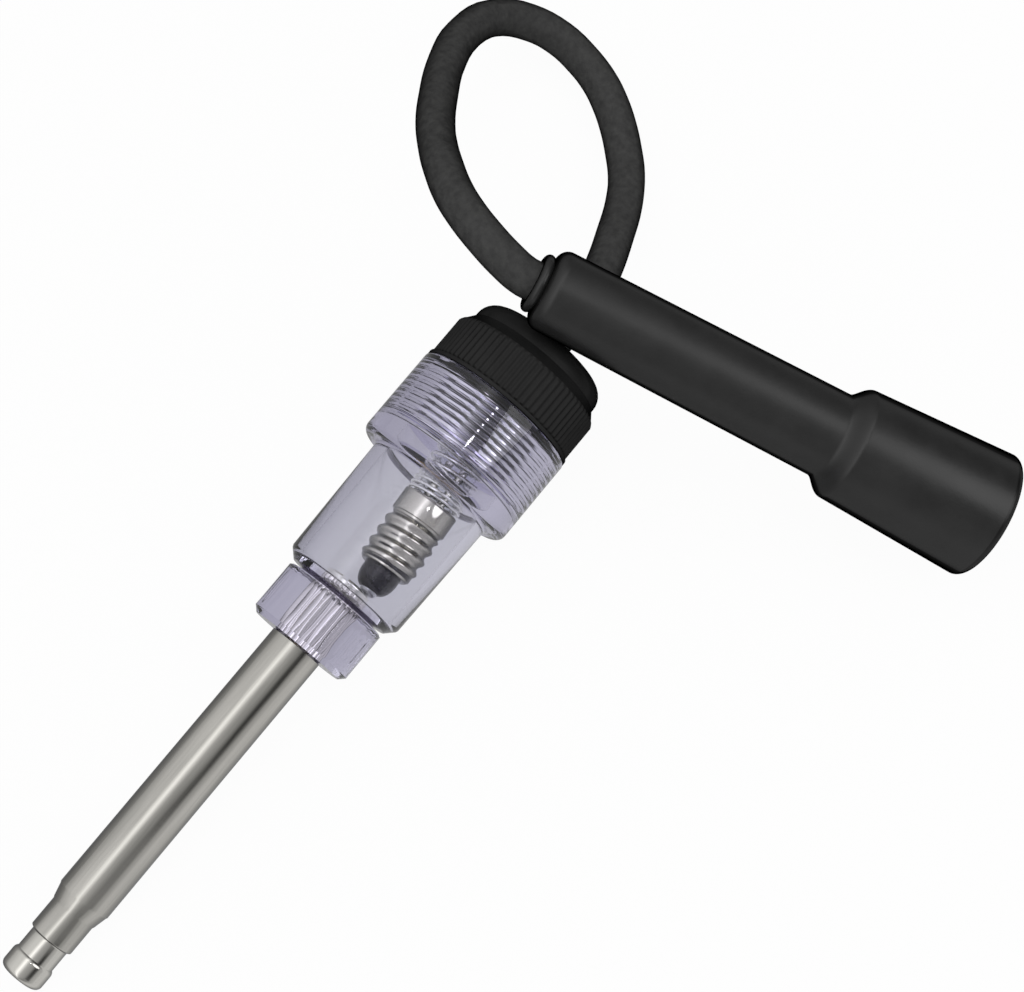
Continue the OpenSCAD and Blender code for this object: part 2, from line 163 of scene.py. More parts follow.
class Bench:
    """Operators that every piece is modelled with."""

    @staticmethod
    def clear() -> None:
        """Goes to object mode with nothing selected."""
        if bpy.context.mode != "OBJECT":
            bpy.ops.object.mode_set(mode="OBJECT")
        bpy.ops.object.select_all(action="DESELECT")

    @staticmethod
    def pick(obj: Piece) -> None:
        """Selects one object alone and makes it active.

        Args:
            obj: The object.
        """
        Bench.clear()
        obj.select_set(True)
        bpy.context.view_layer.objects.active = obj

    @staticmethod
    def turned(
        name: str, profile: Profile, steps: int, place: Matrix, *cuts: Cut, sharp: float = 32.0
    ) -> Piece:
        """Draws a profile vertex by vertex, spins it round Z, cuts it, puts it in its place and smooths it.

        Args:
            name: Name of the new object.
            profile: Radius and height of each point, in millimetres.
            steps: Steps round the axis.
            place: Where the piece goes, applied to its mesh.
            cuts: What is cut into the piece before it goes there.
            sharp: Edges sharper than this stay sharp, in degrees.

        Returns:
            The piece.
        """
        Bench.clear()
        bpy.ops.mesh.primitive_plane_add(size=MM)
        obj = bpy.context.object
        obj.name = obj.data.name = name
        bpy.ops.object.mode_set(mode="EDIT")
        bpy.ops.mesh.select_all(action="SELECT")
        bpy.ops.mesh.merge(type="CENTER")
        bpy.ops.transform.translate(value=(profile[0][0] * MM, 0, profile[0][1] * MM))
        for (r0, z0), (r1, z1) in zip(profile, profile[1:]):
            step = ((r1 - r0) * MM, 0, (z1 - z0) * MM)
            bpy.ops.mesh.extrude_region_move(TRANSFORM_OT_translate={"value": step})
        bpy.ops.mesh.select_all(action="SELECT")
        bpy.ops.mesh.spin(steps=steps, angle=math.tau, center=(0, 0, 0), axis=(0, 0, 1))
        bpy.ops.mesh.select_all(action="SELECT")
        bpy.ops.mesh.remove_doubles(threshold=WELD_GAP)
        bpy.ops.mesh.normals_make_consistent(inside=False)
        bpy.ops.object.mode_set(mode="OBJECT")
        for cut in cuts:
            cut.make(obj)
        Bench.pick(obj)
        obj.matrix_world = place
        bpy.ops.object.transform_apply(location=True, rotation=True, scale=True)
        bpy.ops.object.shade_smooth_by_angle(angle=math.radians(sharp))
        return obj

    @staticmethod
    def tube(name: str, points: list[Vector], radius: float, rings: int, place: Matrix) -> Piece:
        """Draws a smooth round wire through points.

        Args:
            name: Name of the new object.
            points: The wire's centreline, in millimetres.
            radius: The wire's radius, in millimetres.
            rings: Rounds of the wire's section, a quarter of its sides.
            place: Where the wire goes.

        Returns:
            A curve of one open spline.
        """
        Bench.clear()
        bpy.ops.curve.primitive_bezier_curve_add()
        obj = bpy.context.object
        obj.name = obj.data.name = name
        curve = obj.data
        spline = curve.splines[0]
        spline.bezier_points.add(len(points) - len(spline.bezier_points))
        for knot, point in zip(spline.bezier_points, points):
            knot.co = place @ (point * MM)
            knot.handle_left_type = knot.handle_right_type = "AUTO"
        spline.resolution_u = CURVE_STEPS
        curve.dimensions = "3D"
        curve.bevel_depth = radius * MM
        curve.bevel_resolution = rings
        curve.use_fill_caps = True
        return obj


def arc(r: float, z: float, size: float, start: float, stop: float, steps: int = 6) -> Profile:
    """Points on a round of a profile.

    Args:
        r: Radius of the round's centre from the axis.
        z: Height of the round's centre.
        size: Radius of the round.
        start: First angle, in degrees.
        stop: Last angle, in degrees.
        steps: Steps along it.

    Returns:
        The points, first to last.
    """
    turns = [math.radians(start + (stop - start) * i / steps) for i in range(steps + 1)]
    return [(r + size * math.cos(t), z + size * math.sin(t)) for t in turns]


def rows(r: float, low: float, high: float, step: float) -> Profile:
    """Points at one radius, close enough for a pattern to be cut between them."""
    count = max(1, round(abs(high - low) / step))
    return [(r, low + (high - low) * i / count) for i in range(count + 1)]


def ease(r0: float, z0: float, r1: float, z1: float, steps: int) -> Profile:
    """Points on a smooth step from one radius and height to another."""
    shares = [i / steps for i in range(steps + 1)]
    return [(r0 + (r1 - r0) * (1 - math.cos(math.pi * t)) / 2, z0 + (z1 - z0) * t) for t in shares]


class Corner(Enum):
    """Rounded corners of a profile: first and last angle, and which way the round's centre lies."""

    LOWER = (-90, 0, -1, 1)
    UPPER = (0, 90, -1, -1)
    FILLET = (180, 90, 1, -1)
    MOUTH = (90, 180, 1, -1)
    FLOOR = (0, -90, -1, 1)

    def at(self, r: float, z: float, size: float, steps: int = 6) -> Profile:
        """Rounds the corner where a wall of radius r meets an end at height z."""
        start, stop, side, rise = self.value
        return arc(r + side * size, z + rise * size, size, start, stop, steps)


class Cut:
    """Something that is cut into a turned piece while it is still about the origin's Z axis."""

    def make(self, obj: Piece) -> None:
        """Makes the cut in a piece: each kind has its own way."""
        raise NotImplementedError


@dataclass(frozen=True)
class SawCut(Cut):
    """A straight slot, by the blade's length, width and height and its middle, in millimetres."""

    size: Point
    at: Point

    def make(self, obj: Piece) -> None:
        """Saws the slot.

        Args:
            obj: The piece.
        """
        Bench.clear()
        bpy.ops.mesh.primitive_cube_add(size=MM, location=[v * MM for v in self.at])
        blade = bpy.context.object
        blade.scale = self.size
        bpy.ops.object.transform_apply(location=True, rotation=True, scale=True)
        cut = obj.modifiers.new("slot", "BOOLEAN")
        cut.object = blade
        cut.operation = "DIFFERENCE"
        Bench.pick(obj)
        bpy.ops.object.modifier_apply(modifier=cut.name)
        Bench.pick(blade)
        bpy.ops.object.delete()


@dataclass(frozen=True)
class Relief(Cut):
    """A pattern on one plain wall, which has close rows of vertices, between two heights in millimetres."""

    wall: float
    depth: float
    low: float
    high: float
    fade: float

    def form(self, angle: np.ndarray, height: np.ndarray) -> np.ndarray:
        """Gives the lift off the wall as a share of the depth: each kind of pattern has its own."""
        raise NotImplementedError

    def make(self, obj: Piece) -> None:
        """Moves the wall's vertices out or in, and less so near both ends of the pattern.

        Args:
            obj: The piece.
        """
        mesh = obj.data
        points = np.empty(3 * len(mesh.vertices))
        mesh.vertices.foreach_get("co", points)
        points = points.reshape(-1, 3)
        radius = np.hypot(points[:, 0], points[:, 1]) / MM
        angle = np.arctan2(points[:, 1], points[:, 0])
        height = points[:, 2] / MM
        room = np.minimum(height - self.low, self.high - height)
        on_wall = (np.abs(radius - self.wall) < WALL_REACH) & (room > 0.0)
        lift = self.depth * self.form(angle, height) * np.clip(room / self.fade, 0.0, 1.0)
        scale = np.where(on_wall, (radius + lift) / np.maximum(radius, WALL_REACH), 1.0)
        points[:, :2] *= scale[:, None]
        mesh.vertices.foreach_set("co", points.ravel())
        mesh.update()


@dataclass(frozen=True)
class Thread(Relief):
    """A right-handed screw thread, raised from the wall."""

    pitch: float
    flat: float = 0.1
    rounded: bool = False

    def form(self, angle: np.ndarray, height: np.ndarray) -> np.ndarray:
        """Gives the thread's ridges.

        Args:
            angle: Angles round the axis, in radians.
            height: Heights along it.

        Returns:
            0 at the root and 1 at the crest.
        """
        phase = np.mod(height / self.pitch - angle / math.tau, 1.0)
        slope = 1.0 - np.abs(2.0 * phase - 1.0)
        if self.rounded:
            return 0.5 - 0.5 * np.cos(math.pi * slope)
        return np.clip((slope - self.flat) / (1.0 - 2.0 * self.flat), 0.0, 1.0)


@dataclass(frozen=True)
class Ribs(Relief):
    """Straight ribs along the wall, with valleys sunk between them."""

    count: int
    sharp: float = 1.0

    def form(self, angle: np.ndarray, height: np.ndarray) -> np.ndarray:
        """Gives 0 on the ribs and -1 in the valleys, at any height."""
        wave = 0.5 + 0.5 * np.cos(self.count * angle)
        return wave**self.sharp - 1.0


class Mixed(Enum):
    """What a Mix node blends: its data type, the numbers of its two inputs and of its output."""

    NUMBER = ("FLOAT", 2, 3, 0)
    COLOUR = ("RGBA", 6, 7, 2)


@dataclass(frozen=True)
class Pattern:
    """A noise of an effect: its scale's name, how fine and rough it is, and its stretch along the axes."""

    scale: str
    detail: float
    rough: float
    stretch: Point = (1.0, 1.0, 1.0)


class Tree:
    """A node tree that is filled node by node."""

    def __init__(self, tree: bpy.types.NodeTree) -> None:
        """Starts on an empty tree."""
        self.tree = tree
        tree.nodes.clear()

    def add(self, kind: str, feeds: dict | None = None, **settings: object) -> bpy.types.Node:
        """Adds a node.

        Args:
            kind: The node's type name.
            feeds: What its inputs get, by socket name or number: a value, or an output that is linked.
            settings: The node's own settings.

        Returns:
            The new node.
        """
        node = self.tree.nodes.new(kind)
        for key, value in settings.items():
            setattr(node, key, value)
        for key, value in (feeds or {}).items():
            if isinstance(value, Socket):
                self.tree.links.new(value, node.inputs[key])
            else:
                node.inputs[key].default_value = value
        return node

    def calc(self, operation: str, *numbers: Feed) -> Socket:
        """Works out one number from up to three."""
        return self.add("ShaderNodeMath", dict(enumerate(numbers)), operation=operation).outputs[0]

    def within(self, length: Socket, low: float, high: float) -> Socket:
        """Gives 1 where a length is between two others, in millimetres, and 0 elsewhere."""
        return self.calc("COMPARE", length, (low + high) / 2 * MM, (high - low) / 2 * MM)

    def ranged(self, value: Socket, start: Span, stop: Span = (0.0, 1.0)) -> Socket:
        """Takes a number from one range to another, and no further."""
        feeds = dict(enumerate((value, *start, *stop)))
        return self.add("ShaderNodeMapRange", feeds).outputs["Result"]

    def mix(self, share: Feed, first: Feed, second: Feed, kind: Mixed = Mixed.COLOUR) -> Socket:
        """Blends two colours or numbers by the second one's share."""
        data_type, a, b, result = kind.value
        return self.add("ShaderNodeMix", {0: share, a: first, b: second}, data_type=data_type).outputs[result]

    def shaders(self, share: Socket, first: Socket, second: Socket) -> Socket:
        """Blends two shaders by the second one's share."""
        return self.add("ShaderNodeMixShader", {0: share, 1: first, 2: second}).outputs[0]

    def axes(self, vector: Socket) -> Sockets:
        """Splits a vector into X, Y and Z."""
        return self.add("ShaderNodeSeparateXYZ", {0: vector}).outputs

    def noise(self, source: Sockets, pattern: Pattern) -> Socket:
        """Draws a pattern of a group.

        Args:
            source: What goes into the group: a vector and the pattern's scale.
            pattern: The pattern.

        Returns:
            Its numbers.
        """
        stretched = self.add("ShaderNodeMapping", {"Vector": source["Vector"], "Scale": pattern.stretch})
        feeds = {"Vector": stretched.outputs["Vector"], "Scale": source[pattern.scale]}
        feeds |= {"Detail": pattern.detail, "Roughness": pattern.rough}
        return self.add("ShaderNodeTexNoise", feeds).outputs["Fac"]

    def bump(self, height: Socket, strength: float) -> Socket:
        """Gives the normal of a fine relief."""
        feeds = {"Height": height, "Strength": strength, "Distance": BUMP_HEIGHT}
        return self.add("ShaderNodeBump", feeds).outputs["Normal"]

    def where(self, place: Matrix | None = None) -> Socket:
        """Gives the point on the object.

        Args:
            place: The piece's place, for coordinates from its own axis, or none for the object's own.

        Returns:
            The point as a vector.
        """
        point = self.add("ShaderNodeTexCoord").outputs["Object"]
        if place is None:
            return point
        turn = place.inverted()
        feeds = {"Vector": point, "Location": turn.translation, "Rotation": turn.to_euler("XYZ")}
        return self.add("ShaderNodeMapping", feeds).outputs["Vector"]


class Effect(Enum):
    """Surface effects that finishes share: a name, a mask, the range that it is cut to, and a height.

    GRAIN is the pebbled grain of moulded rubber and plastic, with cloudy patches. MARKS are the fine rings
    that a lathe leaves round a bar, with longer streaks, for a vector whose Z runs along the bar.
    """

    GRAIN = ("moulded_grain", Pattern("Patch Scale", 4.0, 0.6), (0.3, 0.7), Pattern("Pebble Scale", 2.0, 0.5))
    MARKS = (
        "turned_marks", Pattern("Streak Scale", 5.0, 0.65, (1.0, 1.0, 0.06)), (0.35, 0.65),
        Pattern("Ring Scale", 2.0, 0.6, (0.03, 0.03, 1.0)),
    )

    def group(self) -> bpy.types.NodeTree:
        """Gives the effect's node group, built at its first use."""
        return bpy.data.node_groups.get(self.value[0]) or self.build()

    def build(self) -> bpy.types.NodeTree:
        """Builds the effect's group: a vector and two scales go in, a mask and a height come out.

        Returns:
            The group.
        """
        name, mask, span, height = self.value
        group = bpy.data.node_groups.new(name, "ShaderNodeTree")
        face = group.interface
        face.new_socket("Vector", in_out="INPUT", socket_type="NodeSocketVector")
        for way, sockets in (("INPUT", (mask.scale, height.scale)), ("OUTPUT", ("Mask", "Height"))):
            for socket in sockets:
                face.new_socket(socket, in_out=way, socket_type="NodeSocketFloat")
        tree = Tree(group)
        source = tree.add("NodeGroupInput").outputs
        cut = tree.ranged(tree.noise(source, mask), span)
        tree.add("NodeGroupOutput", {"Mask": cut, "Height": tree.noise(source, height)})
        return group


def new_material(name: str, draw: Callable[[Tree], Socket]) -> bpy.types.Material:
    """Makes a material.

    Args:
        name: The material's name.
        draw: Fills the material's tree and gives its shader.

    Returns:
        The material.
    """
    made = bpy.data.materials.new(name)
    made.use_nodes = True
    tree = Tree(made.node_tree)
    tree.add("ShaderNodeOutputMaterial", {"Surface": draw(tree)})
    return made


@dataclass(frozen=True)
class Coat:
    """A finish for one slot of the record."""

    name: str
    slot: Slot

    def draw(self, tree: Tree) -> Socket:
        """Fills a material's tree and gives its shader: each kind of coat has its own."""
        raise NotImplementedError

    def material(self) -> bpy.types.Material:
        """Builds the coat's material, or finds it if it is there."""
        return bpy.data.materials.get(self.name) or new_material(self.name, self.draw)


@dataclass(frozen=True)
class Finish(Coat):
    """A surface whose colour and roughness vary with one shared effect.

    Towards its rim the gloss goes over gloss_fade, and painted rim shade turns the colour black over a second
    range, both ranges of Layer Weight. A band of painted light or shade has a low and a high end along the
    piece's axis, in millimetres, and a colour.
    """

    light: Colour
    dark: Colour
    rough: Span
    effect: Effect
    scales: Span
    bump: float
    place: Matrix | None = None
    metallic: float = 0.0
    specular: float = 0.5
    gloss_fade: Span = NEVER
    # Layer Weight range over which painted rim shade turns the colour black.
    painted_rim_shade: Span = NEVER
    # Bands of painted light or shade: low and high ends along the axis, in millimetres, and a colour.
    painted_light_and_shade_bands: tuple[tuple[float, float, Colour], ...] = ()

    def draw(self, tree: Tree) -> Socket:
        """Draws the surface.

        Args:
            tree: The material's tree.

        Returns:
            Its shader.
        """
        where = tree.where(self.place)
        feeds = dict(enumerate((where, *self.scales)))
        effect = tree.add("ShaderNodeGroup", feeds, node_tree=self.effect.group()).outputs
        colour = tree.mix(effect["Mask"], self.dark, self.light)
        # Painted light or shade: each band lightens or darkens the colour between its ends.
        for low, high, painted_band_colour in self.painted_light_and_shade_bands:
            colour = tree.mix(tree.within(tree.axes(where)["Z"], low, high), colour, painted_band_colour)
        facing = tree.add("ShaderNodeLayerWeight", {"Blend": RIM_BLEND}).outputs["Facing"]
        feeds = {
            # Painted rim shade: the colour goes to black towards the rim.
            "Base Color": tree.mix(tree.ranged(facing, self.painted_rim_shade), colour, BLACK),
            "Metallic": self.metallic,
            "Roughness": tree.ranged(effect["Mask"], (0.0, 1.0), self.rough),
            "Specular IOR Level": tree.ranged(facing, self.gloss_fade, (self.specular, 0.0)),
            "Normal": tree.bump(effect["Height"], self.bump),
        }
        return tree.add("ShaderNodeBsdfPrincipled", feeds).outputs["BSDF"]


@dataclass(frozen=True)
class ClearFinish(Coat):
    """A clear plastic or glass, deeper in colour where it is seen edge on.

    Along the piece's axis, in millimetres, one band is painted shade, dark at the groove, and thin is a paler
    band.
    Inside hollow, a radius and the height that it starts from, the wall takes no colour. On one side, from
    the first to the second Y of a span, painted light takes the deeper edge colour down to a share of it.
    """

    tint: Colour
    edge: Colour
    ior: float
    clear: float
    rough: Span
    bump: float
    place: Matrix
    # A band of painted shade along the axis, in millimetres, and its dark colour.
    painted_shade: Span = (0.0, 0.0)
    painted_shade_tint: Colour = (0.02, 0.016, 0.035, 1.0)
    hollow: Span = (0.0, 0.0)
    thin: Span = (0.0, 0.0)
    thin_tint: Colour = WHITE
    # Painted light: across this span of local Y, in millimetres, the edge colour fades to a share, as if lit.
    painted_light_side: Span = (-2.0, -8.0)
    painted_light_share: float = 0.15
    scales: Span = (180.0, 900.0)

    def draw(self, tree: Tree) -> Socket:
        """Draws the surface.

        Args:
            tree: The material's tree.

        Returns:
            Its shader.
        """
        feeds = dict(enumerate((tree.where(), *self.scales)))
        effect = tree.add("ShaderNodeGroup", feeds, node_tree=Effect.GRAIN.group()).outputs
        feeds = {
            "Base Color": self.colour(tree),
            "Metallic": 0.0,
            "Roughness": tree.ranged(effect["Mask"], (0.0, 1.0), self.rough),
            "IOR": self.ior,
            "Transmission Weight": self.clear,
            "Normal": tree.bump(effect["Height"], self.bump),
        }
        return tree.add("ShaderNodeBsdfPrincipled", feeds).outputs["BSDF"]

    def colour(self, tree: Tree) -> Socket:
        """Draws the tint with its bands and its hollow.

        Args:
            tree: The material's tree.

        Returns:
            The colour.
        """
        where = tree.where(self.place)
        axes = tree.axes(where)
        facing = tree.add("ShaderNodeLayerWeight", {"Blend": EDGE_BLEND}).outputs["Facing"]
        # Painted light: one side's edge colour fades across local Y, as if lit.
        start, stop = self.painted_light_side
        painted_light_level = tree.ranged(axes["Y"], (stop * MM, start * MM), (self.painted_light_share, 1.0))
        walls = tree.mix(tree.within(axes["Z"], *self.thin), self.tint, self.thin_tint)
        depth = tree.mix(tree.calc("MULTIPLY", facing, painted_light_level), walls, self.edge)
        # Painted shade: a dark band at the groove.
        with_painted_shade = tree.mix(tree.within(axes["Z"], *self.painted_shade), depth, self.painted_shade_tint)
        flat = tree.add("ShaderNodeVectorMath", {0: where, 1: (1.0, 1.0, 0.0)}, operation="MULTIPLY")
        radius = tree.add("ShaderNodeVectorMath", {0: flat.outputs["Vector"]}, operation="LENGTH")
        near = tree.calc("LESS_THAN", radius.outputs["Value"], self.hollow[0] * MM)
        above = tree.calc("GREATER_THAN", axes["Z"], self.hollow[1] * MM)
        return tree.mix(tree.calc("MULTIPLY", near, above), with_painted_shade, WHITE)


# Painted rim shade darkens the rod's edges; bands of painted light brighten the knob and neck and the knurled
# shank.
ROD_PLATE = Finish(
    "plated_rod", Slot.STEEL, (0.58, 0.565, 0.53, 1), (0.46, 0.45, 0.42, 1), (0.12, 0.22),
    Effect.MARKS, (500.0, 2500.0), 0.04, place=TESTER, metallic=1.0, painted_rim_shade=(0.42, 0.85),
    painted_light_and_shade_bands=((-1.0, 6.42, (0.64, 0.626, 0.588, 1)), (56.81, 67.0, (1.0, 0.98, 0.92, 1))),
)
# Painted shade darkens the groove's band; painted light pales the edge colour on one side.
CLEAR = ClearFinish(
    "clear_violet_plastic", Slot.CLEAR, (0.68, 0.66, 0.832, 1), (0.487, 0.46, 0.651, 1), 1.49, 1.0,
    (0.0, 0.04), 0.02, TESTER, painted_shade=(64.98, 65.62), hollow=(8.15, 66.5), thin=(66.2, 85.2),
    thin_tint=(0.82, 0.815, 0.945, 1),
)
# Painted rim shade darkens the cap's edges.
CAP_BLACK = Finish(
    "cap_moulding", Slot.CAP, (0.023, 0.023, 0.023, 1), (0.018, 0.018, 0.018, 1), (0.36, 0.46),
    Effect.GRAIN, (300.0, 2500.0), 0.1, specular=0.12, gloss_fade=(0.1, 0.5), painted_rim_shade=(0.6, 1.0),
)
# Painted rim shade darkens the boot's edges; a band of painted shade darkens its mouth end.
RUBBER = Finish(
    "boot_rubber", Slot.RUBBER, (0.021, 0.021, 0.021, 1), (0.016, 0.016, 0.016, 1), (0.3, 0.38),
    Effect.GRAIN, (250.0, 2600.0), 0.1, place=BOOT, gloss_fade=(0.06, 0.65), painted_rim_shade=(0.55, 0.8),
    painted_light_and_shade_bands=((70.85, 73.0, (0.003, 0.003, 0.003, 1)),),
)
# Painted rim shade darkens the lead's edges.
JACKET = Finish(
    "lead_jacket", Slot.RUBBER, (0.062, 0.062, 0.061, 1), (0.035, 0.035, 0.035, 1), (0.55, 0.7),
    Effect.GRAIN, (900.0, 2200.0), 0.4, specular=0.25, gloss_fade=(0.1, 0.5), painted_rim_shade=(0.45, 0.9),
)
SCREW_PLATE = Finish(
    "screw_nickel", Slot.STEEL, (0.95, 0.94, 0.9, 1), (0.85, 0.84, 0.8, 1), (0.1, 0.18),
    Effect.MARKS, (500.0, 2500.0), 0.04, place=TESTER, metallic=1.0,
)
BRASS = Finish(
    "turned_brass", Slot.BRASS, (0.78, 0.58, 0.27, 1), (0.62, 0.44, 0.2, 1), (0.2, 0.35),
    Effect.MARKS, (500.0, 2500.0), 0.2, place=TESTER, metallic=1.0,
)
COPPER = Finish(
    "copper_strands", Slot.COPPER, (0.75, 0.42, 0.27, 1), (0.5, 0.26, 0.16, 1), (0.3, 0.45),
    Effect.MARKS, (4000.0, 4000.0), 0.4, metallic=1.0,
)
# Painted rim shade darkens the shell's sides, leaving its middle bright.
SHELL_PLATE = Finish(
    "lamp_shell_plate", Slot.LAMP_METAL, (0.92, 0.9, 0.79, 1), (0.75, 0.73, 0.64, 1), (0.08, 0.15),
    Effect.MARKS, (600.0, 2500.0), 0.04, place=LAMP, metallic=1.0, painted_rim_shade=(0.06, 0.7),
)
SOLDER = Finish(
    "lamp_solder", Slot.LAMP_METAL, (0.75, 0.76, 0.78, 1), (0.55, 0.56, 0.58, 1), (0.25, 0.4),
    Effect.GRAIN, (900.0, 3000.0), 0.3, metallic=1.0,
)
VITRITE = Finish(
    "lamp_vitrite", Slot.LAMP_BLACK, (0.016, 0.014, 0.022, 1), (0.01, 0.009, 0.014, 1), (0.15, 0.3),
    Effect.GRAIN, (500.0, 1500.0), 0.1,
)
# Painted light pales the glass's edge colour on one side, by the default span.
LAMP_GLASS = ClearFinish(
    "lamp_glass_wall", Slot.LAMP_GLASS, (0.97, 0.98, 0.98, 1), (0.9, 0.92, 0.92, 1), 1.5, 1.0,
    (0.0, 0.02), 0.01, LAMP,
)
CEMENT = Finish(
    "lamp_cement", Slot.CEMENT, (0.72, 0.7, 0.62, 1), (0.55, 0.53, 0.46, 1), (0.8, 0.95),
    Effect.GRAIN, (1200.0, 4000.0), 0.6,
)
SPRING_WIRE = Finish(
    "spring_wire", Slot.SPRING, (1.0, 1.0, 0.98, 1), (0.92, 0.92, 0.9, 1), (0.2, 0.3),
    Effect.MARKS, (900.0, 4000.0), 0.04, metallic=1.0,
)


def dress(obj: Piece, finish: Coat) -> None:
    """Gives a piece its finish.

    Args:
        obj: A new piece or a CAD node.
        finish: The finish.
    """
    obj.data.materials.clear()
    obj.data.materials.append(finish.material())


def install(obj: Piece, finish: Coat, body: Body, *nodes: str) -> None:
    """Dresses a new piece, sets it on its body and lets it stand for CAD nodes.

    Args:
        obj: The piece, in its place.
        finish: Its finish.
        body: The body that it moves with.
        nodes: The CAD nodes that it replaces.
    """
    dress(obj, finish)
    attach(obj, body.value)
    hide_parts(*nodes)
    log.info("%s rides on %s and stands for %s", obj.name, body.value, ", ".join(nodes))


def carry(finish: Coat, *nodes: str) -> None:
    """Gives CAD nodes that keep their shape a finish.

    Args:
        finish: The finish.
        nodes: The nodes.
    """
    for name in nodes:
        dress(frame["nodes"][name], finish)
        log.info("%s keeps its CAD shape in %s", name, finish.name)


@dataclass
class TerminalRod:
    """The plated rod with its knob, and the screw that holds it."""

    knob_r: float = 3.175
    knob_len: float = 3.5
    knob_round: float = 0.9
    neck_r: float = 2.85
    fillet: float = 0.3
    edge: float = 0.2
    land_z: float = 6.4
    land_r: float = 3.3
    cone_z: float = 10.8
    cone_ease: float = 0.12
    rod_z: float = 13.0
    rod_ease: Span = (0.15, 0.1)
    rod_r: float = 4.0
    rod_sides: int = 216
    foot_z: float = FOOT_Z
    shank_r: float = 2.7
    shank_top: float = 65.6
    knurl_depth: float = 0.22
    knurl_ribs: int = 20
    knurl_sharp: float = 0.45
    knurl_step: float = 1.0
    knurl_end: float = 0.25
    screw_z: float = 60.0
    screw_r: float = 1.5
    tip_in: float = 0.3
    tip_len: float = 0.4
    floor_z: float = FLOOR_Z
    head_r: float = 3.6
    head_len: float = 1.6
    head_round: float = 0.5
    head_edge: float = 0.1
    slot_width: float = 1.0
    slot_depth: float = 0.8
    slot_reach: float = 2.2
    screw_sides: int = 96

    def build_rod(self) -> None:
        """Turns the rod and knurls its shank."""
        middle = self.knob_r - self.knob_round
        lip = math.degrees(math.acos((self.neck_r - middle) / self.knob_round))
        profile = [
            (0, 0),
            *Corner.LOWER.at(self.knob_r, 0, self.knob_round),
            *arc(middle, self.knob_len - self.knob_round, self.knob_round, 0, lip),
            *Corner.FILLET.at(self.neck_r, self.land_z, self.fillet, 3),
            *Corner.LOWER.at(self.land_r, self.land_z, self.edge, 3),
            (self.land_r, self.cone_z), (self.land_r + self.cone_ease, self.cone_z + self.edge),
            (self.rod_r - self.cone_ease, self.rod_z - self.rod_ease[0]),
            (self.rod_r, self.rod_z + self.rod_ease[1]),
            (self.rod_r, self.foot_z - self.edge), (self.rod_r - self.edge, self.foot_z),
            (self.shank_r, self.foot_z),
            *rows(self.shank_r, self.foot_z + ROW_GAP, self.shank_top - self.fillet, self.knurl_step),
            (self.shank_r - self.fillet, self.shank_top), (0, self.shank_top),
        ]
        knurl = Ribs(
            self.shank_r, self.knurl_depth, self.foot_z, self.shank_top - self.knurl_end, ABRUPT,
            self.knurl_ribs, self.knurl_sharp,
        )
        rod = Bench.turned("turned_rod", profile, self.rod_sides, TESTER, knurl)
        install(rod, ROD_PLATE, Body.CHAMBER, "terminal_rod")

    def build_screw(self) -> None:
        """Turns the contact screw and saws its slot."""
        top = self.floor_z + self.head_len
        profile = [
            (0, self.screw_z), (self.screw_r - self.tip_in, self.screw_z),
            (self.screw_r, self.screw_z + self.tip_len),
            (self.screw_r, self.floor_z), (self.head_r - self.head_edge, self.floor_z),
            *Corner.UPPER.at(self.head_r, top, self.head_round),
            (0, top),
        ]
        slot = SawCut((self.slot_reach * self.head_r, self.slot_width, 2 * self.slot_depth), (0, 0, top))
        screw = Bench.turned("slotted_screw", profile, self.screw_sides, TESTER, slot)
        install(screw, SCREW_PLATE, Body.CHAMBER, "contact_screw")

    def build(self) -> None:
        """Builds the rod and its screw."""
        self.build_rod()
        self.build_screw()


